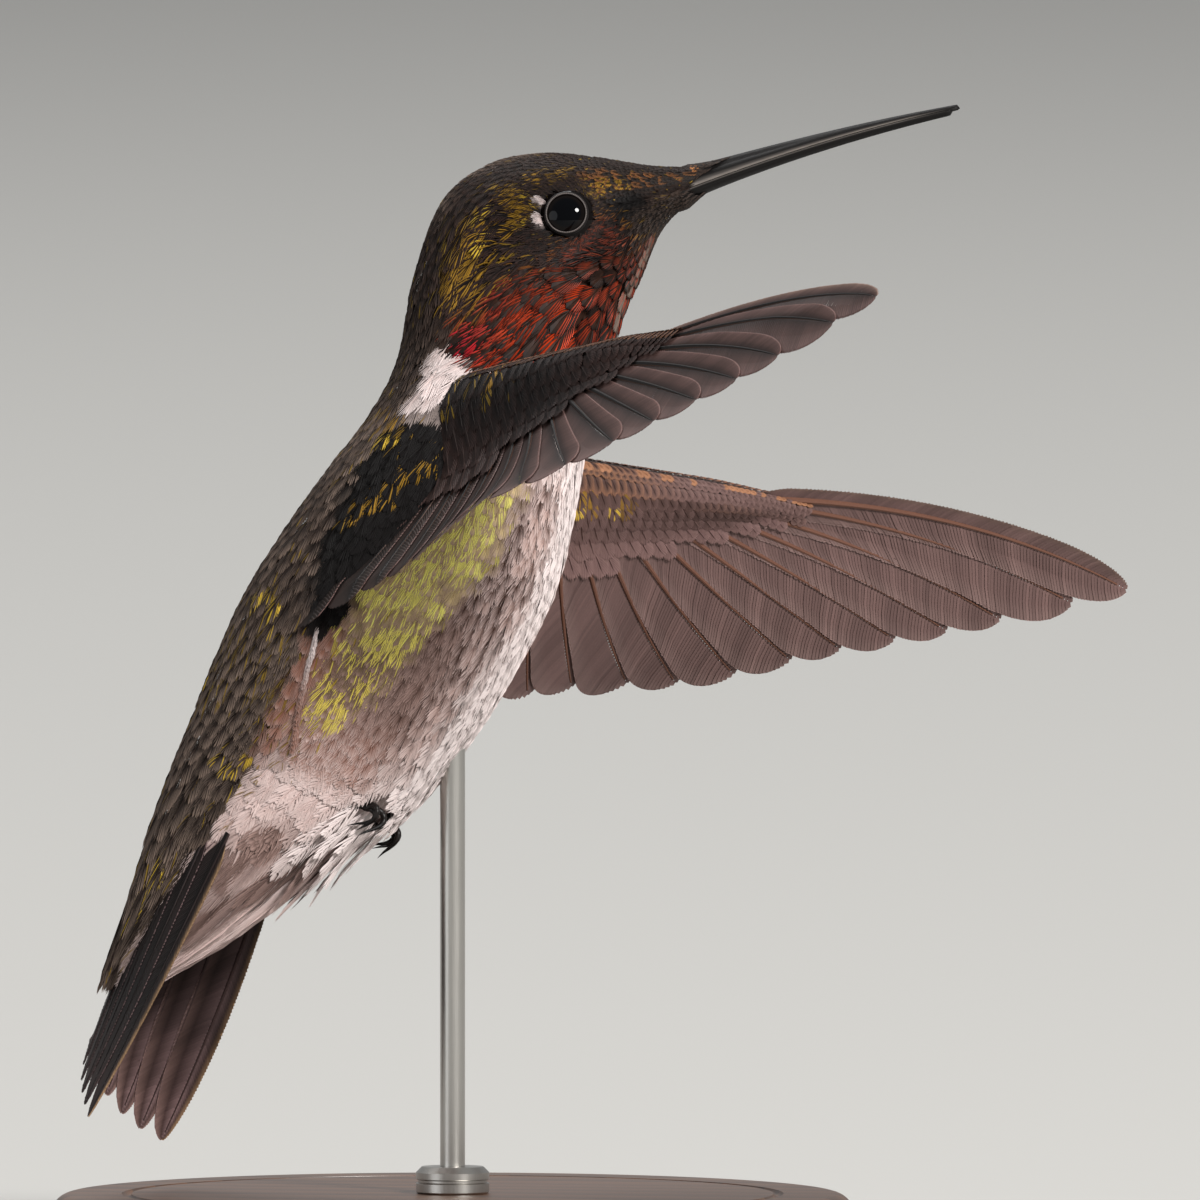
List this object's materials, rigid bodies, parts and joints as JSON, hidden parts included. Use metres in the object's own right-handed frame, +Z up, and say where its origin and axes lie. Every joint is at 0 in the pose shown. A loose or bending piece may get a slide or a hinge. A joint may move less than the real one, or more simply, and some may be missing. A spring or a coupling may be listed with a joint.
{
  "type": "ruby-throated hummingbird, life-size display model",
  "caption": "Life-size male ruby-throated hummingbird, hovering with its wings swept forward, banked on a plain round stand with one thin rod.",
  "frame": {"origin": "centre of the round base's underside", "axes": "+X the way the bird faces, +Y to its left, +Z up, at right angles to the base"},
  "size_m": [0.0571, 0.0709, 0.0701],
  "materials": {
    "crown_and_gorget": "scale-like iridescent feathers, ruby red on the throat and dark bronze-green on the crown",
    "collar": "soft white collar feathers at the front and sides, dark bronze behind",
    "body_feathers": "soft contour feathers, greyish white mottled with brown below, green-gold iridescence on the flanks, dark bronze on the back",
    "wing_coverts": "small dark brown coverts with green-gold glints and a rufous leading edge",
    "flight_feathers": "thin mauve-brown vanes with fine barbs and darker shafts",
    "bill": "black horn with a soft gloss",
    "eye": "very dark brown, wet gloss",
    "claw": "black horny toes and claws",
    "base_wood": "turned walnut with a satin varnish",
    "stand_metal": "satin steel rod and collar"
  },
  "bodies": {
    "root": {"head": "crown_and_gorget", "neck": "collar", "trunk": "body_feathers", "tail_coverts": "body_feathers", "tail_left": "flight_feathers", "tail_right": "flight_feathers", "bill_upper": "bill", "bill_lower": "bill", "eye_left": "eye", "eye_right": "eye", "leg_left": "claw", "leg_right": "claw", "wing_left_arm": "wing_coverts", "wing_left_primaries": "flight_feathers", "wing_left_secondaries": "flight_feathers", "wing_right_arm": "wing_coverts", "wing_right_primaries": "flight_feathers", "wing_right_secondaries": "flight_feathers", "stand_base": "base_wood", "stand_collar": "stand_metal", "stand_rod": "stand_metal"}
  },
  "joints": []
}
